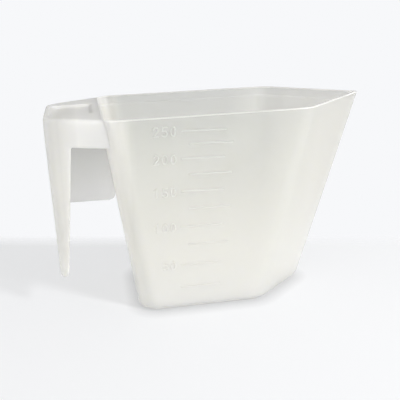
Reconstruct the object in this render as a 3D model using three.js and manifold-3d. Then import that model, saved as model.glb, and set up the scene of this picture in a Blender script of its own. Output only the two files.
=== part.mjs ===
// Hair colour mixing bowl with a pouring spout and a hanging grip, moulded in natural polypropylene.
// Millimetres, +Z up, +X towards the spout, base on z = 0, origin under the middle of the whole part.
import * as THREE from "three";
import { mergeVertices } from "three/addons/utils/BufferGeometryUtils.js";
import Module from "manifold-3d";

// Bowl, with x counted from the rear corner of the rim while the shapes are drawn.
const bowlHeight = 80.8; // rim height at its rear corner
const rimRise = 0.028; // rise of the rim plane per mm towards the spout
const rimSideLength = 72.7; // straight side of the rim, rear corner to spout corner
const spoutReach = 32.5; // spout corner to spout tip
const rimHalfWidth = 28.0;
const rimRearNarrowing = 3.0; // each end of the flat behind the rim, in from the side
const rimRearStep = 4.1; // chamfer between that flat and the rear corner
const baseSetback = 14.0; // rear corner of the base, ahead of the rim's
const baseSideLength = 44.3;
const baseNoseReach = 25.9; // to the tip before it is rounded
const baseHalfWidth = 20.6;
const baseRearNarrowing = 3.9;
const baseRearStep = 6.0;
const wall = 1.3;
const floorThickness = 1.6;
const bottomRadius = 3.5;
const innerRadiusGain = 0.6; // the inner bottom corner is this much rounder than an even wall gives
const rimTipSetback = 2.0; // each corner in plan is rounded from this far along both its sides
const baseTipSetback = 8.0;
const spoutSetback = 4.5;
const rearSetback = 2.4; // two of these have to fit along the chamfer between the rear corners
const bandHeight = 3.5; // recessed band inside the rim
const bandRecess = 0.4;

// Handle.
const handleReach = 20.0; // rear flat of the rim to the outer face of the grip
const handleHalfWidth = 15.05; // at the outer end
const handleCorner = 4.5;
const skirtDepth = 10.6;
const skirtWall = 1.4;
const plateThickness = 2.6;
const recessDepth = 1.4;
const recessHalfWidth = 10.0;
const recessEndMargin = 2.3; // outer end of the handle to the thumb recess
const recessBowlMargin = 2.7; // thumb recess to the rear flat of the rim
const recessCorner = 1.2;
const gripBottom = 15.6;
const gripTopDepth = 9.3; // grip channel, front to back, under the skirt
const gripTipDepth = 3.4;
const gripTipRadius = 1.6;
const gripTipHalfWidth = 12.6;
const gripLean = 1.2; // outer face leans this far towards the bowl at the tip
const webThickness = 1.2;
const webBottom = 42.8;
const webCornerRadius = 3.0;

// Graduations: heights as fractions of the bowl height, one for each 25 ml in the cavity.
const markLevels = [0.136, 0.263, 0.375, 0.4715, 0.565, 0.6535, 0.736, 0.813, 0.882, 0.942];
const markLength = 16.3;
const markWidth = 0.7;
const markRaise = 0.45;
const markStart = 24.0; // rear end of the main lines, from the rear corner of the rim
const markStagger = 2.9; // the in-between lines start this much nearer the spout
const numeralHeight = 4.0;
const numeralWidth = 2.3;
const numeralStroke = 0.62;
const numeralPitch = 3.1;
const numeralGap = 1.9; // last digit to the start of its line
const fit = 0.3; // gap between neighbouring bodies

const wasm = await Module();
wasm.setup();

const rimRearHalfWidth = rimHalfWidth - rimRearNarrowing;
const baseRearHalfWidth = baseHalfWidth - baseRearNarrowing;
const rimX = { rear: -rimRearStep, side: 0, spout: rimSideLength, tip: rimSideLength + spoutReach };
const baseX = {
  rear: baseSetback - baseRearStep,
  side: baseSetback,
  spout: baseSetback + baseSideLength,
  tip: baseSetback + baseSideLength + baseNoseReach,
};
const outerX = rimX.rear - handleReach;
const rimZ = (x) => bowlHeight + rimRise * x;

const natural = { color: 0xdfe0d9, roughness: 0.42, metalness: 0, transparent: true, opacity: 0.86 };

// Half plans of the base and the rim, tip first, then their mirror images, counter-clockwise.
function fullPlan(half) {
  const mirrored = half.filter(([, y]) => y > 0).map(([x, y]) => [x, -y]).reverse();
  return [...half, ...mirrored];
}
const rimPlan = fullPlan([
  [rimX.tip, 0],
  [rimX.spout, rimHalfWidth],
  [rimX.side, rimHalfWidth],
  [rimX.rear, rimRearHalfWidth],
]);
const basePlan = fullPlan([
  [baseX.tip, 0],
  [baseX.spout, baseHalfWidth],
  [baseX.side, baseHalfWidth],
  [baseX.rear, baseRearHalfWidth],
]);
const cornerSetback = (t) => [
  baseTipSetback + (rimTipSetback - baseTipSetback) * t,
  spoutSetback,
  ...Array(4).fill(rearSetback),
  spoutSetback,
];

// Moves every edge of a convex plan inwards by d.
function inset(plan, d) {
  const n = plan.length;
  const edges = plan.map(([x, y], i) => {
    const [u, v] = plan[(i + 1) % n];
    const length = Math.hypot(u - x, v - y);
    const nx = -(v - y) / length;
    const ny = (u - x) / length;
    return { nx, ny, c: nx * x + ny * y + d };
  });
  return plan.map((_, i) => {
    const p = edges[(i + n - 1) % n];
    const q = edges[i];
    const det = p.nx * q.ny - p.ny * q.nx;
    return [(p.c * q.ny - q.c * p.ny) / det, (p.nx * q.c - q.nx * p.c) / det];
  });
}

// Rounded outline of the bowl at the level t (0 base, 1 rim), moved inwards by d.
function outline(t, d, segments = 5) {
  const plan = inset(basePlan.map(([x, y], i) => [
    x + (rimPlan[i][0] - x) * t,
    y + (rimPlan[i][1] - y) * t,
  ]), d);
  const setbacks = cornerSetback(t);
  const points = [];
  plan.forEach((corner, i) => {
    const c = new THREE.Vector2(...corner);
    const before = new THREE.Vector2(...plan[(i + plan.length - 1) % plan.length]);
    const after = new THREE.Vector2(...plan[(i + 1) % plan.length]);
    const setback = Math.max(0.8, setbacks[i] - 0.6 * d);
    const start = c.clone().add(before.sub(c).setLength(setback));
    const end = c.clone().add(after.sub(c).setLength(setback));
    points.push(...new THREE.QuadraticBezierCurve(start, c, end).getPoints(segments));
  });
  return points;
}
function ring(t, d, lift = 0) {
  return outline(t, d).map((p) => new THREE.Vector3(p.x, p.y, t * rimZ(p.x) + lift));
}
// A ring at the fixed height z, for the flat floor.
function levelRing(z, d) {
  return outline(z / bowlHeight, d).map((p) => new THREE.Vector3(p.x, p.y, z));
}

// Closed body from a stack of rings that starts and ends with a flat convex cap.
function stackGeometry(rings) {
  const n = rings[0].length;
  const index = [];
  for (let r = 0; r + 1 < rings.length; r++) {
    for (let i = 0; i < n; i++) {
      const j = (i + 1) % n;
      const a = r * n + i;
      const b = r * n + j;
      index.push(a, b, b + n, a, b + n, a + n);
    }
  }
  const last = (rings.length - 1) * n;
  for (let i = 1; i + 1 < n; i++) {
    index.push(0, i + 1, i, last, last + i, last + i + 1);
  }
  const geometry = new THREE.BufferGeometry();
  const flat = rings.flat().flatMap((p) => [p.x, p.y, p.z]);
  geometry.setAttribute("position", new THREE.Float32BufferAttribute(flat, 3));
  geometry.setIndex(index);
  return geometry;
}

const quarter = (k, steps) => (k / steps) * (Math.PI / 2);
function bowlGeometry() {
  const rings = [];
  for (let k = 0; k < 4; k++) {
    const a = quarter(k, 4);
    rings.push(levelRing(bottomRadius * (1 - Math.cos(a)), bottomRadius * (1 - Math.sin(a))));
  }
  rings.push(levelRing(bottomRadius, 0), ring(0.3, 0), ring(0.6, 0), ring(1, 0, -0.3), ring(1, 0.3));
  rings.push(ring(1, wall - bandRecess));
  const bandLevel = 1 - bandHeight / bowlHeight;
  rings.push(ring(bandLevel, wall - bandRecess), ring(bandLevel, wall), ring(0.6, wall), ring(0.3, wall));
  const inner = bottomRadius - wall + innerRadiusGain;
  for (let k = 4; k >= 0; k--) {
    const a = quarter(k, 4);
    rings.push(levelRing(floorThickness + inner * (1 - Math.cos(a)), wall + inner * (1 - Math.sin(a))));
  }
  return stackGeometry(rings);
}

function toSolid(geometry) {
  const bare = geometry.clone();
  bare.deleteAttribute("normal");
  bare.deleteAttribute("uv");
  const merged = mergeVertices(bare, 1e-4);
  return new wasm.Manifold(new wasm.Mesh({
    numProp: 3,
    vertProperties: new Float32Array(merged.attributes.position.array),
    triVerts: new Uint32Array(merged.index.array),
  }));
}
function toGeometry(solid) {
  const mesh = solid.getMesh();
  const geometry = new THREE.BufferGeometry();
  geometry.setAttribute("position", new THREE.BufferAttribute(new Float32Array(mesh.vertProperties), 3));
  geometry.setIndex(new THREE.BufferAttribute(new Uint32Array(mesh.triVerts), 1));
  geometry.computeVertexNormals();
  return geometry;
}

// Solid space taken by the bowl and the gap round it, used to trim the handle against the rear wall.
const bowlEnvelope = toSolid(stackGeometry([
  ring(0, -fit, -1), ring(0.3, -fit), ring(0.6, -fit), ring(1, -fit), ring(1, -fit, 6),
]));

// Plan of the handle, from just inside the rear wall to the outer end, moved inwards by d.
const handleSlope = (rimRearHalfWidth - handleHalfWidth) / handleReach;
function handlePlan(d) {
  const slope = handleSlope;
  const insideX = rimX.rear * 0.25;
  const outX = outerX + d;
  const halfAt = (x) => handleHalfWidth + slope * (x - outerX) - d * Math.hypot(1, slope);
  const r = Math.max(0.6, handleCorner - d);
  const shape = new THREE.Shape();
  shape.moveTo(insideX, -halfAt(insideX));
  shape.lineTo(insideX, halfAt(insideX));
  shape.lineTo(outX + r, halfAt(outX + r));
  shape.quadraticCurveTo(outX, halfAt(outX), outX, halfAt(outX) - r);
  shape.lineTo(outX, -halfAt(outX) + r);
  shape.quadraticCurveTo(outX, -halfAt(outX), outX + r, -halfAt(outX + r));
  shape.closePath();
  return shape;
}
function rectangle(x0, x1, half, r) {
  const shape = new THREE.Shape();
  shape.moveTo(x0 + r, -half);
  shape.lineTo(x1 - r, -half);
  shape.quadraticCurveTo(x1, -half, x1, -half + r);
  shape.lineTo(x1, half - r);
  shape.quadraticCurveTo(x1, half, x1 - r, half);
  shape.lineTo(x0 + r, half);
  shape.quadraticCurveTo(x0, half, x0, half - r);
  shape.lineTo(x0, -half + r);
  shape.quadraticCurveTo(x0, -half, x0 + r, -half);
  return shape;
}
// Draft of the handle's sides per mm of depth: at the bowl they follow its rear corner down, and at the
// outer end they run into the sides of the grip.
const depthShare = skirtDepth / bowlHeight;
const cornerHalfWidth = rimRearHalfWidth - (rimRearHalfWidth - baseRearHalfWidth) * depthShare;
const cornerPlanHalf = rimRearHalfWidth + handleSlope * (baseX.rear - rimX.rear) * depthShare;
const draftAtBowl = (1 - cornerHalfWidth / cornerPlanHalf) / skirtDepth;
const draftAtEnd = (1 - gripTipHalfWidth / handleHalfWidth) / (bowlHeight - gripBottom);
// Block over a plan with its ends parallel to the sloping rim plane, given as depths below that plane.
function rimBlock(shape, top, bottom, draft = true) {
  const geometry = new THREE.ExtrudeGeometry(shape, {
    depth: bottom - top,
    bevelEnabled: false,
    curveSegments: 5,
  });
  const position = geometry.attributes.position;
  for (let i = 0; i < position.count; i++) {
    const x = position.getX(i);
    const depth = bottom - position.getZ(i);
    const share = THREE.MathUtils.clamp((x - outerX) / handleReach, 0, 1);
    const perDepth = draft ? draftAtEnd + (draftAtBowl - draftAtEnd) * share : 0;
    position.setY(i, position.getY(i) * (1 - perDepth * depth));
    position.setZ(i, rimZ(x) - depth);
  }
  return toSolid(geometry);
}

const skirtFull = rimBlock(handlePlan(0), 0, skirtDepth);
const skirtHollow = rimBlock(handlePlan(skirtWall), plateThickness, skirtDepth + 1);
const recessPlan = rectangle(
  outerX + recessEndMargin, rimX.rear - recessBowlMargin, recessHalfWidth, recessCorner);
const thumbRecess = rimBlock(recessPlan, -1, recessDepth, false);
const bridge = skirtFull.subtract(skirtHollow).subtract(thumbRecess).subtract(bowlEnvelope);

// Side view of the grip: outer face, rounded tip, inner edge; moved inwards by d except at the inner edge.
const gripTop = bowlHeight - skirtDepth + rimRise * outerX - fit;
function gripProfile(d) {
  const z0 = gripBottom + d;
  const outTop = outerX + d;
  const outTip = outerX + gripLean + d;
  const inTip = outerX + gripLean + gripTipDepth + (d > 0 ? 3 : 0);
  const inTop = outerX + gripTopDepth + (d > 0 ? 3 : 0);
  const r = gripTipRadius;
  const top = gripTop + (d > 0 ? 1 : 0);
  const shape = new THREE.Shape();
  shape.moveTo(outTop, top);
  shape.lineTo(outTip, z0 + r);
  shape.quadraticCurveTo(outTip + 0.1, z0, outTip + r, z0);
  shape.quadraticCurveTo(inTip - 0.2, z0 + 0.6, inTip, z0 + 2.6);
  shape.lineTo(inTop, top);
  shape.closePath();
  return shape;
}
// Extrudes a side view across the handle and narrows it towards the tip.
function acrossHandle(shape, halfTop, halfTip) {
  const geometry = new THREE.ExtrudeGeometry(shape, { depth: 2, bevelEnabled: false, curveSegments: 5 });
  geometry.translate(0, 0, -1).rotateX(Math.PI / 2);
  const position = geometry.attributes.position;
  for (let i = 0; i < position.count; i++) {
    const share = (position.getZ(i) - gripBottom) / (gripTop - gripBottom);
    position.setY(i, position.getY(i) * (halfTip + (halfTop - halfTip) * share));
  }
  return toSolid(geometry);
}
const gripTopHalfWidth = handleHalfWidth * (1 - draftAtEnd * skirtDepth);
const gripBlunt = rimBlock(handlePlan(0), skirtDepth - 1, bowlHeight);
const grip = acrossHandle(gripProfile(0), handleHalfWidth + 6, gripTipHalfWidth + 6)
  .intersect(gripBlunt)
  .subtract(acrossHandle(gripProfile(skirtWall), gripTopHalfWidth - skirtWall, gripTipHalfWidth - skirtWall));

// Stiffening web on the middle plane, between the grip, the underside of the plate and the rear wall.
function webSolid() {
  const backX = outerX + skirtWall + fit;
  const backLean = gripLean * (gripTop - webBottom) / (gripTop - gripBottom);
  const top = rimZ(outerX) - plateThickness - fit;
  const wallX = rimX.rear + (baseX.rear - rimX.rear) * (1 - webBottom / bowlHeight) - fit - 0.9;
  const shape = new THREE.Shape();
  shape.moveTo(backX + backLean, webBottom);
  shape.lineTo(wallX - webCornerRadius, webBottom);
  shape.quadraticCurveTo(wallX - 0.4, webBottom, wallX, webBottom + webCornerRadius);
  shape.lineTo(baseSetback, webBottom + webCornerRadius);
  shape.lineTo(baseSetback, top);
  shape.lineTo(backX, top);
  shape.lineTo(backX, gripTop);
  shape.closePath();
  const geometry = new THREE.ExtrudeGeometry(shape, {
    depth: webThickness,
    bevelEnabled: false,
    curveSegments: 5,
  });
  geometry.translate(0, 0, -webThickness / 2).rotateX(Math.PI / 2);
  return toSolid(geometry).subtract(bowlEnvelope);
}

const part = new THREE.Group();
const rimTip = Math.max(...outline(1, 0).map((p) => p.x));
part.position.x = -(outerX + rimTip) / 2;
function addMesh(parent, name, geometry) {
  const mesh = new THREE.Mesh(geometry, new THREE.MeshStandardMaterial(natural));
  mesh.name = name;
  parent.add(mesh);
  return mesh;
}
const bowlShell = bowlGeometry();
bowlShell.computeVertexNormals();
addMesh(part, "bowl_shell", bowlShell);
addMesh(part, "handle_bridge", toGeometry(bridge));
addMesh(part, "handle_grip", toGeometry(grip));
addMesh(part, "handle_web", toGeometry(webSolid()));

// Scale on the side wall at -Y. Its group lies in the wall: local x level along it, local y up it and
// local z straight out, so the bars and digits are drawn flat and stand a gap off the surface.
const along = new THREE.Vector3(1, 0, 0);
const low = new THREE.Vector3(baseX.side, -baseHalfWidth, 0);
const high = new THREE.Vector3(rimX.side, -rimHalfWidth, rimZ(0));
const across = high.clone().sub(low);
const outward = new THREE.Vector3().crossVectors(along, across).normalize();
const upWall = new THREE.Vector3().crossVectors(outward, along);
const scale = new THREE.Group();
scale.position.set(0, low.y, 0);
scale.quaternion.setFromRotationMatrix(new THREE.Matrix4().makeBasis(along, upWall, outward));
part.add(scale);
const slantPerRise = 1 / upWall.z;

function ridge(shape) {
  const geometry = new THREE.ExtrudeGeometry(shape, {
    depth: markRaise,
    bevelEnabled: false,
    curveSegments: 6,
  });
  return geometry.translate(0, 0, fit);
}
function barShape(length) {
  const shape = new THREE.Shape();
  shape.moveTo(0, -markWidth / 2);
  shape.lineTo(length, -markWidth / 2);
  shape.lineTo(length, markWidth / 2);
  shape.lineTo(0, markWidth / 2);
  shape.closePath();
  return shape;
}

// Digits drawn as a stroke of even width along a centre line in a box numeralWidth by numeralHeight.
function strokeShape(points) {
  const half = numeralStroke / 2;
  const side = (sign) => points.map((p, i) => {
    const a = points[Math.max(0, i - 1)];
    const b = points[Math.min(points.length - 1, i + 1)];
    const dir = b.clone().sub(a).normalize();
    const into = p.clone().sub(a);
    const turn = i > 0 && i + 1 < points.length ? into.normalize().dot(dir) : 1;
    const reach = half / Math.max(0.6, turn);
    return new THREE.Vector2(p.x - dir.y * reach * sign, p.y + dir.x * reach * sign);
  });
  return new THREE.Shape([...side(-1), ...side(1).reverse()]);
}
const hw = (numeralWidth - numeralStroke) / 2;
const hh = (numeralHeight - numeralStroke) / 2;
const arc = (cx, cy, rx, ry, from, to, steps) => Array.from({ length: steps + 1 }, (_, i) => {
  const a = THREE.MathUtils.degToRad(from + ((to - from) * i) / steps);
  return new THREE.Vector2(cx + rx * Math.cos(a), cy + ry * Math.sin(a));
});
const digitShapes = {
  0: () => {
    const shape = new THREE.Shape(arc(0, 0, hw + numeralStroke / 2, hh + numeralStroke / 2, 0, 345, 23));
    shape.holes.push(new THREE.Path(arc(0, 0, hw - numeralStroke / 2, hh - numeralStroke / 2, 345, 0, 23)));
    return shape;
  },
  1: () => {
    const s = numeralStroke / 2;
    const bar = [[s, -hh - s], [s, hh + s], [-s, hh + s], [-s - 0.6, hh - 0.35]];
    bar.push([-s - 0.6, hh - 1.0], [-s, hh - 0.6], [-s, -hh - s]);
    return new THREE.Shape(bar.map(([x, y]) => new THREE.Vector2(x, y)));
  },
  2: () => strokeShape([
    ...arc(0, 0.45 * hh, hw, 0.55 * hh, 165, -35, 8),
    new THREE.Vector2(-hw, -hh),
    new THREE.Vector2(hw + numeralStroke / 2, -hh),
  ]),
  5: () => strokeShape([
    new THREE.Vector2(hw, hh),
    new THREE.Vector2(-0.75 * hw, hh),
    new THREE.Vector2(-0.85 * hw, 0.18 * hh),
    ...arc(-0.1 * hw, -0.4 * hh, 1.1 * hw, 0.62 * hh, 80, -140, 9),
  ]),
};

markLevels.forEach((level, i) => {
  const volume = 25 * (i + 1);
  const y = level * bowlHeight * slantPerRise;
  const main = i === 0 || i % 2 === 1;
  const x = markStart + (main ? 0 : markStagger);
  const bar = addMesh(scale, `mark_${String(volume).padStart(3, "0")}ml`, ridge(barShape(markLength)));
  bar.position.set(x, y, 0);
  if (volume % 50) return;
  const digits = [...String(volume)];
  digits.forEach((digit, k) => {
    const back = numeralGap + numeralWidth / 2 + (digits.length - 1 - k) * numeralPitch;
    const name = `numeral_${volume}_digit_${k + 1}`;
    addMesh(scale, name, ridge(digitShapes[digit]())).position.set(markStart - back, y, 0);
  });
});

export default part;
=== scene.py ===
import math

import bmesh
import bpy
import numpy as np
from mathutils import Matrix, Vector


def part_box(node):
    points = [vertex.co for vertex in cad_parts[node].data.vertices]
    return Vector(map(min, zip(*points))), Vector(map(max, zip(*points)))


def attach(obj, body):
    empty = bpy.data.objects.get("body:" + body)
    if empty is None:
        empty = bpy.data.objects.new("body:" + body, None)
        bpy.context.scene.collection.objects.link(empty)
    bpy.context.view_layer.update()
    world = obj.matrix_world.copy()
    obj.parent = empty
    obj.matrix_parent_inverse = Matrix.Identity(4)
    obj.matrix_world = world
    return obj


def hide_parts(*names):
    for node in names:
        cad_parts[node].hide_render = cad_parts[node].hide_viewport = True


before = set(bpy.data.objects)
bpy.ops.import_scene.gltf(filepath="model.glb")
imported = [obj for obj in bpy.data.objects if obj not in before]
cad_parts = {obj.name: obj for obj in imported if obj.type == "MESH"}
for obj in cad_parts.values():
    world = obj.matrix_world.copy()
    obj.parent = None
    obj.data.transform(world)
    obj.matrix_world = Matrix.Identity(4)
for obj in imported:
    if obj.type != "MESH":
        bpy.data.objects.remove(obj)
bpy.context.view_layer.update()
print("frame loaded")

mm = 0.001
handleEnd = -24.1  # outer face of the handle, counted from the rear corner of the rim
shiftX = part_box("handle_bridge")[0][0] / mm - handleEnd  # puts that face where the solid part has it


def addMesh(name, points, faces, sharpAngle, fixNormals=False):
    # points in mm, counted from the rear corner of the rim; faces as lists of point numbers
    points = np.asarray(points, float).reshape(-1, 3)
    placed = (points + [shiftX, 0, 0]) * mm
    mesh = bpy.data.meshes.new(name)
    mesh.from_pydata(placed.tolist(), [], [list(map(int, f)) for f in faces])
    mesh.validate()
    if fixNormals:
        work = bmesh.new()
        work.from_mesh(mesh)
        bmesh.ops.recalc_face_normals(work, faces=work.faces)
        work.to_mesh(mesh)
        work.free()
    mesh.polygons.foreach_set("use_smooth", np.ones(len(mesh.polygons), bool))
    mesh.set_sharp_from_angle(angle=math.radians(sharpAngle))
    mesh.update()
    piece = bpy.data.objects.new(name, mesh)
    bpy.context.collection.objects.link(piece)
    return piece


def rounding(steps, start=0, stop=90):
    # pairs 1 - sin a, 1 - cos a along a quarter circle, with a in even steps from start to stop degrees
    a = np.radians(np.linspace(start, stop, steps))
    return list(zip(1 - np.sin(a), 1 - np.cos(a)))


def stackFaces(ringCount, n, caps=True):
    # joins point i of ring r to point i+1 and to ring r+1; each end is one flat face
    r, i = np.meshgrid(np.arange(ringCount - 1), np.arange(n), indexing="ij")
    j = (i + 1) % n
    quads = np.stack([r * n + i, r * n + j, (r + 1) * n + j, (r + 1) * n + i], axis=-1).reshape(-1, 4)
    faces = quads.tolist()
    if caps:
        faces.append(list(range(n))[::-1])
        faces.append(list(range((ringCount - 1) * n, ringCount * n)))
    return faces


def insetPlan(plan, d):
    # plan (rings, corners, 2): each edge line moves inwards by d, a corner is where two moved lines cross
    after = np.roll(plan, -1, axis=1)
    edge = after - plan
    normal = np.stack([-edge[..., 1], edge[..., 0]], axis=-1)
    normal /= np.linalg.norm(normal, axis=-1, keepdims=True)
    c = (normal * plan).sum(-1) + np.asarray(d)[:, None]
    p, pc = np.roll(normal, 1, axis=1), np.roll(c, 1, axis=1)
    det = p[..., 0] * normal[..., 1] - p[..., 1] * normal[..., 0]
    x = (pc * normal[..., 1] - c * p[..., 1]) / det
    y = (p[..., 0] * c - normal[..., 0] * pc) / det
    return np.stack([x, y], axis=-1)


def roundPlan(plan, setback, cornerSteps, edgeSteps):
    # each corner becomes a parabola that leaves both edges at its setback:
    # P(s) = (1-s)^2 start + 2 s (1-s) corner + s^2 end; the straight edge after it gets even steps
    before, after = np.roll(plan, 1, axis=1), np.roll(plan, -1, axis=1)
    toBefore = before - plan
    toAfter = after - plan
    toBefore /= np.linalg.norm(toBefore, axis=-1, keepdims=True)
    toAfter /= np.linalg.norm(toAfter, axis=-1, keepdims=True)
    setback = np.asarray(setback, float)[..., None]
    start, end = plan + toBefore * setback, plan + toAfter * setback
    s = np.linspace(0, 1, cornerSteps + 1)[None, None, :, None]
    arc = (1 - s) ** 2 * start[:, :, None] + 2 * s * (1 - s) * plan[:, :, None] + s ** 2 * end[:, :, None]
    nextStart = np.roll(start, -1, axis=1)
    e = (np.arange(1, edgeSteps) / edgeSteps)[None, None, :, None]
    straight = end[:, :, None] * (1 - e) + nextStart[:, :, None] * e
    return np.concatenate([arc, straight], axis=2).reshape(plan.shape[0], -1, 2)


bowlSizes = {
    "height": 80.8,
    "rimRise": 0.028,
    "rimPlan": [(105.16, 0), (72.7, 28.0), (0, 28.0), (-4.1, 25.0)],
    "basePlan": [(84.2, 0), (58.3, 20.6), (14.0, 20.6), (8.0, 16.7)],
    "rimSetback": [2.0, 4.5, 2.4, 2.4, 2.4, 2.4, 4.5],
    "baseSetback": [8.0, 4.5, 2.4, 2.4, 2.4, 2.4, 4.5],
    "wall": 1.3,
    "floor": 1.6,
    "bottomRadius": 3.5,
    "innerRadiusGain": 0.6,
    "rimRadius": 0.42,
    "bandHeight": 3.5,
    "bandRecess": 0.4,
    "ledgeSpan": 0.004,  # the step under the band, as a share of the height
    "ledgeEase": (0.06, 0.08),  # its upper and its lower corner are cut by this much
    "outsideLevels": (0.09, 0.985),
    "insideLevels": (0.94, 0.09),
    "setbackLoss": 0.6,  # for each mm of inset
    "setbackLeast": 0.8,
    "cornerSteps": 10,
    "edgeSteps": 14,
    "wallSteps": 16,
}
height, rise = bowlSizes["height"], bowlSizes["rimRise"]


def mirrorPlan(half):
    # the points with y above 0, and the same points with y turned round, in the opposite order
    half = np.array(half, float)
    return np.vstack([half, (half[half[:, 1] > 0] * [1, -1])[::-1]])


rimPlan, basePlan = mirrorPlan(bowlSizes["rimPlan"]), mirrorPlan(bowlSizes["basePlan"])


def rimZ(x):
    # the rim plane: its height at the rear corner plus the rise for each mm of x
    return height + rise * x


def bowlRings(level, inward, lift, flat):
    # ring at level t (0 base, 1 rim) moved inwards by d: corner = base + t (rim - base), rounded in plan;
    # its height is t times the sloping rim plane plus a lift, or the plain height t H where it is flat
    level, inward = np.asarray(level, float), np.asarray(inward, float)
    plan = basePlan[None] + (rimPlan - basePlan)[None] * level[:, None, None]
    plan = insetPlan(plan, inward)
    foot, rim = np.array(bowlSizes["baseSetback"]), np.array(bowlSizes["rimSetback"])
    setback = foot + (rim - foot) * level[:, None] - bowlSizes["setbackLoss"] * inward[:, None]
    setback = np.maximum(bowlSizes["setbackLeast"], setback)
    outline = roundPlan(plan, setback, bowlSizes["cornerSteps"], bowlSizes["edgeSteps"])
    z = level[:, None] * np.where(np.asarray(flat)[:, None], height, rimZ(outline[..., 0]))
    return np.dstack([outline, z + np.asarray(lift, float)[:, None]])


def makeBowl():
    # the section of the wall, run round the plan: up the outside, over the rim and down the inside, where
    # each rounding of radius r moves r (1 - sin a) one way and r (1 - cos a) the other
    s = bowlSizes
    w, rt, foot = s["wall"], s["rimRadius"], s["bottomRadius"]
    rows = []  # level, inward, lift, flat
    rows += [(foot * up / height, foot * across, 0, True) for across, up in rounding(9)[:-1]]
    rows.append((foot / height, 0, 0, True))
    rows += [(t, 0, 0, False) for t in np.linspace(*s["outsideLevels"], s["wallSteps"])]
    bandWall = w - s["bandRecess"]
    rimStart = len(rows)
    rows += [(1, rt * across, -rt * down, False) for down, across in rounding(5)]
    rows += [(1, bandWall - rt * across, -rt * down, False) for across, down in rounding(5)[1:]]
    rimEnd = len(rows) - 1
    ledge, span = 1 - s["bandHeight"] / height, s["ledgeSpan"]
    upper, lower = s["ledgeEase"]
    rows += [(ledge + span, bandWall, 0, False), (ledge, bandWall + upper, 0, False)]
    rows += [(ledge - span / 4, w - lower, 0, False), (ledge - span, w, 0, False)]
    rows += [(t, w, 0, False) for t in np.linspace(*s["insideLevels"], s["wallSteps"])]
    inner = foot - w + s["innerRadiusGain"]
    for across, up in rounding(9, 90, 0):
        rows.append(((s["floor"] + inner * up) / height, w + inner * across, 0, True))
    rings = bowlRings(*zip(*rows))
    n = rings.shape[1]
    return addMesh("bowl", rings, stackFaces(len(rows), n), 50), (rimStart * n, rimEnd * n)


bowl, rimFaces = makeBowl()
print("bowl made")


handleSizes = {
    "reach": 20.0,
    "endHalfWidth": 15.05,
    "cornerSetback": 4.5,
    "cornerLeast": 0.8,
    "tightCorner": 0.3,
    "cornerSteps": 8,
    "edgeSteps": 6,
    "skirtDepth": 10.6,
    "skirtWall": 1.4,
    "plate": 2.6,
    "toe": 1.0,
    "flare": 0.25,
    "edgeRadius": 1.1,
    "hollowRadius": 0.9,  # under the plate, where it meets the skirt
    "lipRadius": (0.5, 0.4),  # lower edge of the skirt, across and in height
    "intoWall": (0.8, 0.15),  # how far the skirt and the hollow run into the rear wall
    "heel": 1.2,
    "recess": (-21.8, -6.8, 10.0, 1.0),  # rear end, bowl end, half width, depth
    "recessCorner": 1.4,
    "recessCornerLeast": 0.5,
    "recessRadius": (0.6, 0.9, 0.4),  # its top edge, and its floor's edge across and in height
    "recessRunOut": 2.4,  # the slope at its bowl end, for 1 at the other edges
    "gripBottom": 15.6,
    "gripTopDepth": 9.3,
    "gripTipDepth": 3.4,
    "gripTipHalfWidth": 12.6,
    "gripLean": 1.2,
    "gripInside": 0.02,  # keeps the outer face just inside the end of the handle
    "gripEdge": (0.35, 0.005),  # setback of its inner edges, where the channel is open and where it is full
    "gripFill": 0.02,  # width left between the two chains where the channel is full
    "gripGap": 0.6,  # from its top to the underside of the plate
    "tipHeight": (1.6, 2.8),  # the outer face and the inner edges round off over these heights
    "tipReach": (1.5, 1.7, 1.2),  # outer face set back, inner edge set back, sides drawn in
    "tipFloor": 2.2,
    "voxel": 0.34,
}
rearX, rearHalf = bowlSizes["rimPlan"][3]
baseRearX, baseRearHalf = bowlSizes["basePlan"][3]
slope = (rearHalf - handleSizes["endHalfWidth"]) / handleSizes["reach"]
depthShare = handleSizes["skirtDepth"] / height
cornerHalf = rearHalf - (rearHalf - baseRearHalf) * depthShare
planHalf = rearHalf + slope * (baseRearX - rearX) * depthShare
draftAtBowl = (1 - cornerHalf / planHalf) / handleSizes["skirtDepth"]
tipShare = handleSizes["gripTipHalfWidth"] / handleSizes["endHalfWidth"]
draftAtEnd = (1 - tipShare) / (height - handleSizes["gripBottom"])


def sideWidth(x, inward, depth):
    # half width of the handle at x: a taper towards the outer end with a flare that grows as the square of
    # the way to the bowl, less the draft at that depth, less the inset
    share = np.clip((x - handleEnd) / handleSizes["reach"], 0, 1.15)
    draft = draftAtEnd + (draftAtBowl - draftAtEnd) * np.minimum(share, 1)
    width = handleSizes["endHalfWidth"] + slope * (x - handleEnd) + handleSizes["flare"] * share ** 2
    return width * (1 - draft * depth) - inward * math.hypot(1, slope)


def bridgeRing(bowlX, inward, depth, toe=0.0):
    # level outline: x runs from the outer end to bowlX, with y at plus and minus the half width there, and
    # both sides run on by the toe, into the rear corners of the bowl
    ends = np.array([bowlX + toe, handleEnd + inward, bowlX])
    half = sideWidth(ends, inward, depth)
    side = [(ends[0], half[0]), (ends[1], half[1])]
    heel = (bowlX, half[2] - handleSizes["heel"])
    plan = np.array([side + [(x, -y) for x, y in side[::-1]] + [(heel[0], -heel[1]), heel]])
    outer = max(handleSizes["cornerLeast"], handleSizes["cornerSetback"] - inward)
    tight = handleSizes["tightCorner"]
    setback = [[tight, outer, outer, tight, tight, tight]]
    line = roundPlan(plan, setback, handleSizes["cornerSteps"], handleSizes["edgeSteps"])[0]
    return np.column_stack([line, rimZ(line[:, 0]) - depth])


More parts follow.
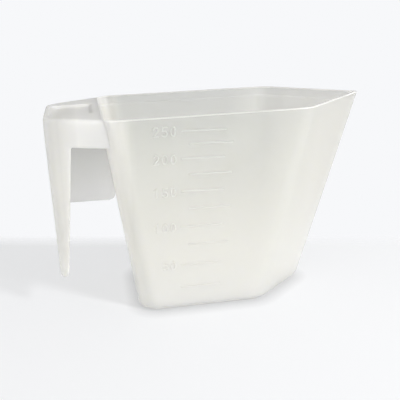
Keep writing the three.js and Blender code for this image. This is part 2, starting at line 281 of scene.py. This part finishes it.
def recessRing(inward, depth):
    # rectangle with rounded corners, smaller by the inset on every side, at a depth below the rim plane;
    # two more points on its bowl end keep the count of a bridge ring
    x0, x1, half, _ = handleSizes["recess"]
    x0, x1, half = x0 + inward, x1 - handleSizes["recessRunOut"] * inward, half - inward
    plan = np.array([[(x1, half), (x0, half), (x0, -half), (x1, -half), (x1, 3 - half), (x1, half - 3)]])
    corner = max(handleSizes["recessCornerLeast"], handleSizes["recessCorner"] - inward)
    setback = [[corner] * 4 + [handleSizes["tightCorner"]] * 2]
    line = roundPlan(plan, setback, handleSizes["cornerSteps"], handleSizes["edgeSteps"])[0]
    return np.column_stack([line, rimZ(line[:, 0]) - depth])


def makeBridge():
    # rings from the underside of the plate down the skirt, round its lower edge, up the outside, over the
    # top edge and down into the recess; each rounding moves r (1 - sin a) one way, r (1 - cos a) the other
    s = handleSizes
    deep, wallT, plate, r = s["skirtDepth"], s["skirtWall"], s["plate"], s["edgeRadius"]
    recessDeep, toe, hollow = s["recess"][3], s["toe"], s["hollowRadius"]
    inWall, onWall = rearX + s["intoWall"][0], rearX + s["intoWall"][1]
    lipAcross, lipDeep = s["lipRadius"]
    topRound, floorAcross, floorUp = s["recessRadius"]
    slant = (baseRearX - rearX) / height  # the rear wall moves this far in per mm of depth
    inPlate, inLip, outLip = onWall + slant * plate, onWall + slant * deep, inWall + slant * deep
    rings = [bridgeRing(inPlate, wallT + 1.0, plate)]
    for across, down in rounding(4):
        rings.append(bridgeRing(inPlate, wallT + hollow * across, plate + hollow * down))
    rings.append(bridgeRing(onWall + slant * (deep - lipDeep), wallT, deep - lipDeep))
    for up, across in rounding(4)[1:]:
        rings.append(bridgeRing(inLip, wallT - lipAcross * across, deep - lipDeep * up))
    for across, up in rounding(4)[1:]:
        rings.append(bridgeRing(outLip, lipAcross * across, deep - lipDeep * up, toe))
    rings.append(bridgeRing(inWall + slant * (r + 4), 0, r + 4, toe))
    rings += [bridgeRing(inWall, r * across, r * down, toe) for across, down in rounding(6, 90, 0)]
    rings += [recessRing(-topRound * across, topRound * down) for across, down in rounding(5)]
    rings += [recessRing(floorAcross * across, recessDeep - floorUp * up) for up, across in rounding(5)]
    rings = np.array(rings)
    return addMesh("handleBridge", rings, stackFaces(len(rings), rings.shape[1]), 50)


def gripRing(z, floorOpen):
    # channel section at height z: outer face, sides and inner edges. Near the tip each of them draws in as
    # sqrt(1 - (1 - v)^2), where v runs from 0 to 1 over the height of the rounding. The outer chain runs
    # round the outside and the inner chain comes back inside it
    s = handleSizes
    share = np.clip((z - s["gripBottom"]) / (rimZ(handleEnd) - s["skirtDepth"] - s["gripBottom"]), 0, 1.2)
    outX = handleEnd + s["gripLean"] * max(0, 1 - share) + s["gripInside"]
    inX = handleEnd + (s["gripLean"] + s["gripTipDepth"]) * (1 - share) + s["gripTopDepth"] * share
    v, u = [min(1, (z - s["gripBottom"]) / tall) for tall in s["tipHeight"]]
    setOuter, setInner, setSides = s["tipReach"]
    lift = math.sqrt(max(0, 1 - (1 - v) ** 2))
    reach = math.sqrt(max(0, 1 - (1 - u) ** 2))
    x0 = outX + setOuter * (1 - lift)
    x1 = outX + setInner + (inX - outX - setInner) * reach
    depth = rimZ(outX) - z
    trim = setSides * (1 - lift)
    halfOut = sideWidth(x0, 0, depth) - trim
    halfIn = sideWidth(x1, 0, depth) - trim
    t = s["skirtWall"]
    back = x0 + t if floorOpen else x1 - s["gripFill"]
    outer = np.array([[(x1, halfIn), (x0, halfOut), (x0, -halfOut), (x1, -halfIn)]])
    inner = np.array([[(x1, halfIn - t), (back, halfOut - t), (back, -halfOut + t), (x1, -halfIn + t)]])
    setOut = min(s["cornerSetback"], 0.8 * (x1 - x0))
    setIn = min(s["cornerSetback"] - t, 0.8 * max(0.01, x1 - back))
    openEdge, fullEdge = s["gripEdge"]
    edge = openEdge if floorOpen else fullEdge
    outerLine = roundPlan(outer, [[openEdge, setOut, setOut, openEdge]], s["cornerSteps"], 5)[0][:-4]
    innerLine = roundPlan(inner, [[edge, setIn, setIn, edge]], s["cornerSteps"], 5)[0][:-4]
    line = np.vstack([outerLine, innerLine[::-1]])
    return np.column_stack([line, np.full(len(line), z)]), len(outerLine)


def makeGrip():
    # sections stacked from the tip to just under the plate, closed at both ends by a strip between the
    # outer and the inner chain; below the floor of the channel the section is filled
    s = handleSizes
    bottom = s["gripBottom"]
    floorZ = bottom + s["tipFloor"]
    topZ = rimZ(handleEnd) - s["plate"] - s["gripGap"]
    levels = [(bottom + s["tipHeight"][0] * up, False) for _, up in rounding(9, 4, 88)]
    levels += [(floorZ, False), (floorZ, True), (floorZ + 0.35, True)]
    levels += [(z, True) for z in np.linspace(bottom + 3.4, topZ, 18)]
    rings = [gripRing(z, isOpen)[0] for z, isOpen in levels]
    half = gripRing(topZ, True)[1]
    n = rings[0].shape[0]
    faces = stackFaces(len(rings), n, caps=False)
    k = np.arange(half - 1)
    strip = np.stack([k, k + 1, n - 2 - k, n - 1 - k], axis=-1)
    faces += strip[:, ::-1].tolist()
    faces += (strip + (len(rings) - 1) * n).tolist()
    return addMesh("handleGrip", np.array(rings), faces, 45)


webSizes = {
    "thickness": 1.2,
    "bottom": 42.8,
    "corner": 3.0,
    "notch": (0.6, 5.0),  # gap to the rear wall at the lower corner, and its height
    "into": (0.1, 0.25),  # how far the web runs into the grip and the rear wall
}


def makeWeb():
    # flat plate on the middle plane: its outline, drawn in x and z, is stacked across its thickness, with a
    # small inset at both faces; each row is a share of the thickness and an inset
    s = webSizes
    notch, notchTall = s["notch"]
    intoGrip, intoWall = s["into"]
    low, topZ = s["bottom"], rimZ(handleEnd) - handleSizes["plate"]
    backX = handleEnd + handleSizes["skirtWall"] + intoGrip
    wallZ = np.array([low, low + notchTall, topZ])
    wallX = rearX + (baseRearX - rearX) * (1 - wallZ / height) + [-notch, intoWall, intoWall]
    plan = np.array([[*zip(wallX, wallZ), (backX, topZ), (backX, low)]])
    rows = [(-0.5, 0.22), (-0.42, 0.06), (-0.3, 0), (0.3, 0), (0.42, 0.06), (0.5, 0.22)]
    rings = []
    for across, inward in rows:
        setback = [[s["corner"] - inward, 0.4] + [handleSizes["tightCorner"]] * 3]
        line = roundPlan(insetPlan(plan, [inward]), setback, handleSizes["cornerSteps"], 3)[0]
        y = np.full(len(line), -across * s["thickness"])
        rings.append(np.column_stack([line[:, 0], y, line[:, 1]]))
    rings = np.array(rings)
    return addMesh("handleWeb", rings, stackFaces(len(rings), rings.shape[1]), 50)


def weld(name, parts, voxel):
    # one skin over pieces that overlap, so that no seam shows where the moulding has none
    work = bmesh.new()
    for part in parts:
        work.from_mesh(part.data)
    mesh = bpy.data.meshes.new(name)
    work.to_mesh(mesh)
    work.free()
    joined = bpy.data.objects.new(name, mesh)
    bpy.context.collection.objects.link(joined)
    skin = joined.modifiers.new("skin", "REMESH")
    skin.mode, skin.voxel_size, skin.use_smooth_shade = "VOXEL", voxel, True
    soften = joined.modifiers.new("soften", "SMOOTH")
    soften.factor, soften.iterations = 0.5, 3
    graph = bpy.context.evaluated_depsgraph_get()
    final = bpy.data.meshes.new_from_object(joined.evaluated_get(graph))
    joined.modifiers.clear()
    joined.data = final
    final.name = name
    for part in parts:
        bpy.data.objects.remove(part)
    return joined


handle = weld("handle", [makeBridge(), makeGrip()], handleSizes["voxel"] * mm)
web = makeWeb()
print("handle made:", len(handle.data.polygons), "faces")


scaleSizes = {
    "levels": [0.136, 0.263, 0.375, 0.4715, 0.565, 0.6535, 0.736, 0.813, 0.882, 0.942],
    "start": 24.0,
    "stagger": 2.9,
    "length": 16.3,
    "endGap": 0.3,  # a line's centre starts and stops this far inside its length
    "lineWidth": 0.7,
    "raise": 0.2,
    "sink": 0.15,
    "digitHeight": 4.0,
    "digitWidth": 2.3,
    "stroke": 0.62,
    "pitch": 3.1,
    "gap": 1.9,
}
baseHalf, rimHalf = bowlSizes["basePlan"][1][1], bowlSizes["rimPlan"][1][1]
wallFoot = np.array([0, -baseHalf, 0])
wallUp = np.array([0, baseHalf - rimHalf, height]) / math.hypot(rimHalf - baseHalf, height)
wallOut = np.cross([1.0, 0, 0], wallUp)


def ridgeMesh(name, path, width, closed=False):
    # a half-round bead: at each path point the section is offset (w/2) cos a to the side and h sin a out of
    # the wall, and both ends of an open bead shrink as a quarter circle
    path = np.asarray(path, float)
    if not closed:
        first, last = path[0], path[-1]
        lead = (path[0] - path[1]) / np.linalg.norm(path[0] - path[1])
        tail = (path[-1] - path[-2]) / np.linalg.norm(path[-1] - path[-2])
        a = np.radians([80, 60, 35])
        r = width / 2
        front = first + lead * (r * np.sin(a))[:, None]
        back = last + tail * (r * np.sin(a[::-1]))[:, None]
        path = np.vstack([front, path, back])
        swell = np.concatenate([np.cos(a), np.ones(len(path) - 6), np.cos(a[::-1])])
        ahead = np.vstack([path[1:], path[-1:] + tail])
        behind = np.vstack([path[:1] + lead, path[:-1]])
    else:
        swell = np.ones(len(path))
        ahead, behind = np.roll(path, -1, axis=0), np.roll(path, 1, axis=0)
    one, two = ahead - path, path - behind
    one /= np.linalg.norm(one, axis=1, keepdims=True)
    two /= np.linalg.norm(two, axis=1, keepdims=True)
    along = one + two
    along /= np.linalg.norm(along, axis=1, keepdims=True)
    miter = 1 / np.maximum(0.75, (along * one).sum(1))
    side = np.column_stack([-along[:, 1], along[:, 0]])
    angle = np.radians(np.linspace(0, 180, 9))
    across = np.cos(angle)[None] * (width / 2) * (swell * miter)[:, None]
    out = np.sin(angle)[None] * scaleSizes["raise"] * (0.4 + 0.6 * swell)[:, None]
    out[:, 0] = out[:, -1] = -scaleSizes["sink"]
    flat = path[:, None] + side[:, None] * across[..., None]
    onWall = wallFoot + flat[..., :1] * np.array([1.0, 0, 0]) + flat[..., 1:] * wallUp
    points = onWall + out[..., None] * wallOut
    n = len(angle)
    rings = len(path)
    if closed:
        faces = stackFaces(rings + 1, n, caps=False)
        faces = (np.array(faces) % (rings * n)).tolist()
    else:
        faces = stackFaces(rings, n)
    return addMesh(name, points, faces, 60, fixNormals=True)


def arcPath(cx, cy, rx, ry, start, end, steps):
    # ellipse: x = cx + rx cos a, y = cy + ry sin a, with a from start to end
    a = np.radians(np.linspace(start, end, steps + 1))
    return np.column_stack([cx + rx * np.cos(a), cy + ry * np.sin(a)])


def digitPath(digit):
    # centre line of a digit in a box of its width and height, less one stroke, and whether it closes
    w = (scaleSizes["digitWidth"] - scaleSizes["stroke"]) / 2
    h = (scaleSizes["digitHeight"] - scaleSizes["stroke"]) / 2
    if digit == "0":
        return arcPath(0, 0, w, h, 0, 345, 23), True
    if digit == "1":
        return np.array([(-0.75, h - 0.75), (-0.3, h - 0.3), (0, h), (0, h - 0.5), (0, 0), (0, -h)]), False
    if digit == "2":
        tail = [(-0.2 * w, -0.45 * h), (-w, -h), (-w + 0.3, -h), (w, -h)]
        return np.vstack([arcPath(0, 0.45 * h, w, 0.55 * h, 165, -35, 12), tail]), False
    top = [(w, h), (0, h), (-0.72 * w, h), (-0.8 * w, 0.6 * h), (-0.86 * w, 0.18 * h)]
    return np.vstack([top, arcPath(-0.1 * w, -0.4 * h, 1.1 * w, 0.62 * h, 80, -140, 14)]), False


scalePieces = []
s = scaleSizes
for i, level in enumerate(s["levels"]):
    volume = 25 * (i + 1)
    y = level * height / wallUp[2]
    isMain = i == 0 or i % 2 == 1
    x = s["start"] + (0 if isMain else s["stagger"])
    ends = x + s["endGap"], x + s["length"] - s["endGap"]
    path = np.column_stack([np.linspace(*ends, 12), np.full(12, y)])
    line = ridgeMesh("line%03dml" % volume, path, s["lineWidth"])
    scalePieces.append((line, "mark_%03dml" % volume))
    if volume % 50:
        continue
    digits = str(volume)
    for k, digit in enumerate(digits):
        centre = s["start"] - s["gap"] - s["digitWidth"] / 2 - (len(digits) - 1 - k) * s["pitch"]
        shape, closed = digitPath(digit)
        bead = ridgeMesh("numeral%dDigit%d" % (volume, k + 1), shape + [centre, y], s["stroke"], closed)
        scalePieces.append((bead, "numeral_%d_digit_%d" % (volume, k + 1)))
print("scale made:", len(scalePieces), "pieces")


# natural polypropylene: the same plastic everywhere, milkier where the moulding is thicker; the lighter and
# darker colour over its height and along x is painted light and shade
bowlLook = {
    "foot": (0.98, 0.96, 0.89),  # colour at the lower height and below, lighter: painted light
    "head": (0.65, 0.655, 0.62),  # colour at the upper height and above, darker: painted shade
    "heights": (0.008, 0.078),
    "rear": (-2.0, 8.0),  # the head's painted shade comes in over this stretch of x; behind it the rear corner keeps the foot's painted light
    "spout": (55.0, 80.0, 0.30),  # and falls to this share of itself over this one: painted light on the spout
    "mottle": 0.97,
    "alpha": (0.9, 0.48),  # at the rear and ahead of it
    "alphaOver": (-2.0, 6.0),
    "roughness": 0.34,
    "ior": 1.49,
    "subsurface": 0.8,
    "scatter": (1.0, 1.0, 0.9),
    "scatterDepth": 0.003,
    "transmission": 0.15,
    "cloudScale": 28,
    "grainScale": 1900,
    "grain": (0.05, 0.0004),  # strength and height of the satin texture
    "wave": (0.05, 0.004),  # and of the flow marks
}
# the rim plastic keeps the bowl's painted light and shade over height and x
rimLook = {**bowlLook, "alpha": (0.9, 0.9), "transmission": 0.0, "roughness": 0.28}
# the handle is painted lighter towards its top, painted light on the bridge and its flange, and darker down
# the grip, painted shade
handleLookPaintedLight = {
    **bowlLook,
    "foot": (0.88, 0.87, 0.82),
    "head": (1.0, 0.98, 0.91),
    "heights": (0.03, 0.08),
    "rear": None,
    "alpha": (0.56, 0.96),
    "alphaOver": (-19.0, -12.0),
}
# the web is painted darker towards its top, painted shade under the plate of the bridge, and lighter at its
# lower edge
webLookPaintedShade = {
    **bowlLook,
    "foot": (1.0, 0.995, 0.97),
    "head": (0.62, 0.62, 0.60),
    "heights": (0.046, 0.070),
    "rear": None,
    "alpha": (0.48, 0.48),
}
# the beads keep the bowl's painted light and shade, with a lighter head so the painted shade at the top is
# weaker
scaleLook = {**bowlLook, "head": (0.88, 0.89, 0.85), "alpha": (0.5, 0.5), "transmission": 0.0}


def ramp(tree, source, low, high, start, end):
    # start below low, end above high, and start + (end - start) t between, t running evenly
    node = tree.nodes.new("ShaderNodeMapRange")
    for name, value in (("From Min", low), ("From Max", high), ("To Min", start), ("To Max", end)):
        node.inputs[name].default_value = value
    tree.links.new(source, node.inputs["Value"])
    return node.outputs["Result"]


def makePlastic(name, look):
    # colour: foot + (head - foot) f, darkened a little in clouds, where f is the ramp over the height times
    # the ramps over x at the rear and at the spout; foot, head and f are painted light and shade, the
    # clouds are the plastic's own flow marks
    material = bpy.data.materials.new(name)
    material.use_nodes = True
    tree = material.node_tree
    shader = tree.nodes["Principled BSDF"]
    shader.inputs["Roughness"].default_value = look["roughness"]
    shader.inputs["IOR"].default_value = look["ior"]
    shader.inputs["Subsurface Weight"].default_value = look["subsurface"]
    shader.inputs["Subsurface Radius"].default_value = look["scatter"]
    shader.inputs["Subsurface Scale"].default_value = look["scatterDepth"]
    shader.inputs["Transmission Weight"].default_value = look["transmission"]
    place = tree.nodes.new("ShaderNodeTexCoord")
    parts = tree.nodes.new("ShaderNodeSeparateXYZ")
    tree.links.new(place.outputs["Object"], parts.inputs["Vector"])
    rear, ahead = look["alpha"]
    if rear == ahead:
        shader.inputs["Alpha"].default_value = rear
    else:
        near, far = [(x + shiftX) * mm for x in look["alphaOver"]]
        tree.links.new(ramp(tree, parts.outputs["X"], near, far, rear, ahead), shader.inputs["Alpha"])
    cloud = tree.nodes.new("ShaderNodeTexNoise")  # slow flow marks of the moulding
    cloud.inputs["Scale"].default_value = look["cloudScale"]
    cloud.inputs["Detail"].default_value = 3
    grain = tree.nodes.new("ShaderNodeTexNoise")  # fine satin texture of the mould
    grain.inputs["Scale"].default_value = look["grainScale"]
    grain.inputs["Detail"].default_value = 4
    for noise in (cloud, grain):
        tree.links.new(place.outputs["Object"], noise.inputs["Vector"])
    body = tree.nodes.new("ShaderNodeMix")
    body.data_type = "RGBA"
    body.inputs["A"].default_value = (*look["foot"], 1)
    body.inputs["B"].default_value = (*look["head"], 1)
    share = ramp(tree, parts.outputs["Z"], *look["heights"], 0, 1)
    if look["rear"]:
        spoutFrom, spoutTo, left = look["spout"]
        for near, far, start, end in ((*look["rear"], 0, 1), (spoutFrom, spoutTo, 1, left)):
            product = tree.nodes.new("ShaderNodeMath")
            product.operation = "MULTIPLY"
            along = ramp(tree, parts.outputs["X"], (near + shiftX) * mm, (far + shiftX) * mm, start, end)
            tree.links.new(share, product.inputs[0])
            tree.links.new(along, product.inputs[1])
            share = product.outputs["Value"]
    tree.links.new(share, body.inputs["Factor"])
    mottle = tree.nodes.new("ShaderNodeMix")
    mottle.data_type, mottle.blend_type = "RGBA", "MULTIPLY"
    mottle.inputs["B"].default_value = (look["mottle"], look["mottle"], look["mottle"], 1)
    tree.links.new(cloud.outputs["Fac"], mottle.inputs["Factor"])
    tree.links.new(body.outputs["Result"], mottle.inputs["A"])
    tree.links.new(mottle.outputs["Result"], shader.inputs["Base Color"])
    wave = tree.nodes.new("ShaderNodeBump")
    wave.inputs["Strength"].default_value, wave.inputs["Distance"].default_value = look["wave"]
    tree.links.new(cloud.outputs["Fac"], wave.inputs["Height"])
    satin = tree.nodes.new("ShaderNodeBump")
    satin.inputs["Strength"].default_value, satin.inputs["Distance"].default_value = look["grain"]
    tree.links.new(grain.outputs["Fac"], satin.inputs["Height"])
    tree.links.new(wave.outputs["Normal"], satin.inputs["Normal"])
    tree.links.new(satin.outputs["Normal"], shader.inputs["Normal"])
    return material


# each piece and the solid nodes it stands in for
standIns = [(bowl, ["bowl_shell"]), (handle, ["handle_bridge", "handle_grip"]), (web, ["handle_web"])]
standIns += [(bead, [node]) for bead, node in scalePieces]
for piece, nodes in standIns:
    piece.data.materials.clear()
    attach(piece, "root")
    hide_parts(*nodes)
bowl.data.materials.append(makePlastic("bowlPlastic", bowlLook))
bowl.data.materials.append(makePlastic("rimPlastic", rimLook))
handle.data.materials.append(makePlastic("handlePlastic", handleLookPaintedLight))
web.data.materials.append(makePlastic("webPlastic", webLookPaintedShade))
scalePlastic = makePlastic("scalePlastic", scaleLook)
for bead, node in scalePieces:
    bead.data.materials.append(scalePlastic)
# the faces that round over the rim take the milkier rim plastic
faceSlots = np.zeros(len(bowl.data.polygons), np.int32)
faceSlots[rimFaces[0]:rimFaces[1]] = 1
bowl.data.polygons.foreach_set("material_index", faceSlots)
print("plastic laid on")


setLook = {
    "floor": (0.30, 0.303, 0.31),
    "floorReach": 3.0,
    "floorEdge": (-26.0, 69.0),  # a point on the far edge, in mm, x counted as on the bowl
    "edgeFade": 0.014,
    "floorTint": (0.985, 0.99, 1.0),
    "floorGlow": 0.60,
    "contact": 0.006,  # painted contact shadow: the glow fades this close to the base
    "contactOpen": (0.3, 1.0),  # over this range of openness
    "contactShare": 0.62,  # to this share of itself
    "backdrop": (0.930, 0.938, 0.956),
    "overhead": (0.70, 0.70, 0.70),
    "around": (0.30, 0.30, 0.30),
    "overheadFrom": (0.25, 0.8),  # height of the sky where the overhead light comes in
    "key": ((0.376, -0.397, 0.42), (0, 0, 0.04), 3.2, 0.10),  # place, aim, power, size
    "fill": ((-0.24, -0.26, 0.03), (-0.03, 0, 0.05), 0.34, 0.12),
    "lookAlong": (0.2108, 0.9775),  # level direction that the camera looks in
    "turn": -12.17,  # camera, in degrees
    "tilt": 19.64,
    "cameraPlace": (-10.4, -217.7, 119.2),
}
turn, tilt = math.radians(setLook["turn"]), math.radians(setLook["tilt"])
ahead2d = np.array(setLook["lookAlong"])
right2d = np.array([ahead2d[1], -ahead2d[0]])
edgePoint = (np.array(setLook["floorEdge"]) + [shiftX, 0]) * mm
edgeEnds = [edgePoint - right2d * setLook["floorReach"], edgePoint + right2d * setLook["floorReach"]]
corners = edgeEnds + [end - ahead2d * setLook["floorReach"] for end in edgeEnds[::-1]]
floorMesh = bpy.data.meshes.new("floor")
floorMesh.from_pydata([(*c, 0) for c in corners], [], [(3, 2, 1, 0)])
floor = bpy.data.objects.new("floor", floorMesh)
bpy.context.collection.objects.link(floor)
paper = bpy.data.materials.new("palePaper")
paper.use_nodes = True
paperTree = paper.node_tree
paperShader = paperTree.nodes["Principled BSDF"]
paperShader.inputs["Base Color"].default_value = (*setLook["floor"], 1)
paperShader.inputs["Roughness"].default_value = 0.9
paperShader.inputs["Specular IOR Level"].default_value = 0.0
paperShader.inputs["Emission Color"].default_value = (*setLook["floorTint"], 1)
closeBy = paperTree.nodes.new("ShaderNodeAmbientOcclusion")  # painted contact shadow: the glow fades where the base is close
closeBy.inputs["Distance"].default_value = setLook["contact"]
closeBy.samples = 8
glow = setLook["floorGlow"]
glowInContactShadow = glow * setLook["contactShare"]
glowWithContactShadow = ramp(paperTree, closeBy.outputs["AO"], *setLook["contactOpen"], glowInContactShadow, glow)
paperTree.links.new(glowWithContactShadow, paperShader.inputs["Emission Strength"])
floorPlace = paperTree.nodes.new("ShaderNodeTexCoord")
depthAlong = paperTree.nodes.new("ShaderNodeVectorMath")  # how far back a point of the floor lies
depthAlong.operation = "DOT_PRODUCT"
depthAlong.inputs[1].default_value = (*ahead2d, 0)
paperTree.links.new(floorPlace.outputs["Object"], depthAlong.inputs[0])
farEdge = float(edgePoint @ ahead2d)
solid = ramp(paperTree, depthAlong.outputs["Value"], farEdge - setLook["edgeFade"], farEdge, 1, 0)
paperTree.links.new(solid, paperShader.inputs["Alpha"])
floorMesh.materials.append(paper)
print("floor laid")

# the backdrop is white where it is seen; as light it is bright overhead and dim round the horizon
world = bpy.data.worlds.new("studio")
world.use_nodes = True
sky = world.node_tree
seen = sky.nodes["Background"]
seen.inputs["Color"].default_value = (*setLook["backdrop"], 1)
lit = sky.nodes.new("ShaderNodeBackground")
way = sky.nodes.new("ShaderNodeTexCoord")
split = sky.nodes.new("ShaderNodeSeparateXYZ")
blend = sky.nodes.new("ShaderNodeMapRange")
blend.interpolation_type = "SMOOTHSTEP"
blend.inputs["From Min"].default_value, blend.inputs["From Max"].default_value = setLook["overheadFrom"]
tone = sky.nodes.new("ShaderNodeMix")
tone.data_type = "RGBA"
tone.inputs["A"].default_value = (*setLook["around"], 1)
tone.inputs["B"].default_value = (*setLook["overhead"], 1)
rays = sky.nodes.new("ShaderNodeLightPath")
pick = sky.nodes.new("ShaderNodeMixShader")
sky.links.new(way.outputs["Generated"], split.inputs["Vector"])
sky.links.new(split.outputs["Z"], blend.inputs["Value"])
sky.links.new(blend.outputs["Result"], tone.inputs["Factor"])
sky.links.new(tone.outputs["Result"], lit.inputs["Color"])
sky.links.new(rays.outputs["Is Camera Ray"], pick.inputs["Fac"])
sky.links.new(lit.outputs["Background"], pick.inputs[1])
sky.links.new(seen.outputs["Background"], pick.inputs[2])
sky.links.new(pick.outputs["Shader"], sky.nodes["World Output"].inputs["Surface"])
bpy.context.scene.world = world


def areaLight(name, place, aim, power, size):
    lamp = bpy.data.lights.new(name, "AREA")
    lamp.energy, lamp.size = power, size
    holder = bpy.data.objects.new(name, lamp)
    holder.location = place
    holder.rotation_euler = (Vector(aim) - Vector(place)).to_track_quat("-Z", "Y").to_euler()
    bpy.context.collection.objects.link(holder)


areaLight("keyLight", *setLook["key"])
areaLight("lowFill", *setLook["fill"])

lens = bpy.data.cameras.new("camera")
lens.lens, lens.sensor_width = 50, 36
lens.clip_start = 0.01
camera = bpy.data.objects.new("camera", lens)
camera.location = Vector(setLook["cameraPlace"]) * mm + Vector((shiftX * mm, 0, 0))
ahead = Vector((-math.sin(turn) * math.cos(tilt), math.cos(turn) * math.cos(tilt), -math.sin(tilt)))
camera.rotation_euler = ahead.to_track_quat("-Z", "Y").to_euler()
bpy.context.collection.objects.link(camera)
bpy.context.scene.camera = camera
bpy.context.scene.view_settings.view_transform = "Standard"
print("set and camera ready")
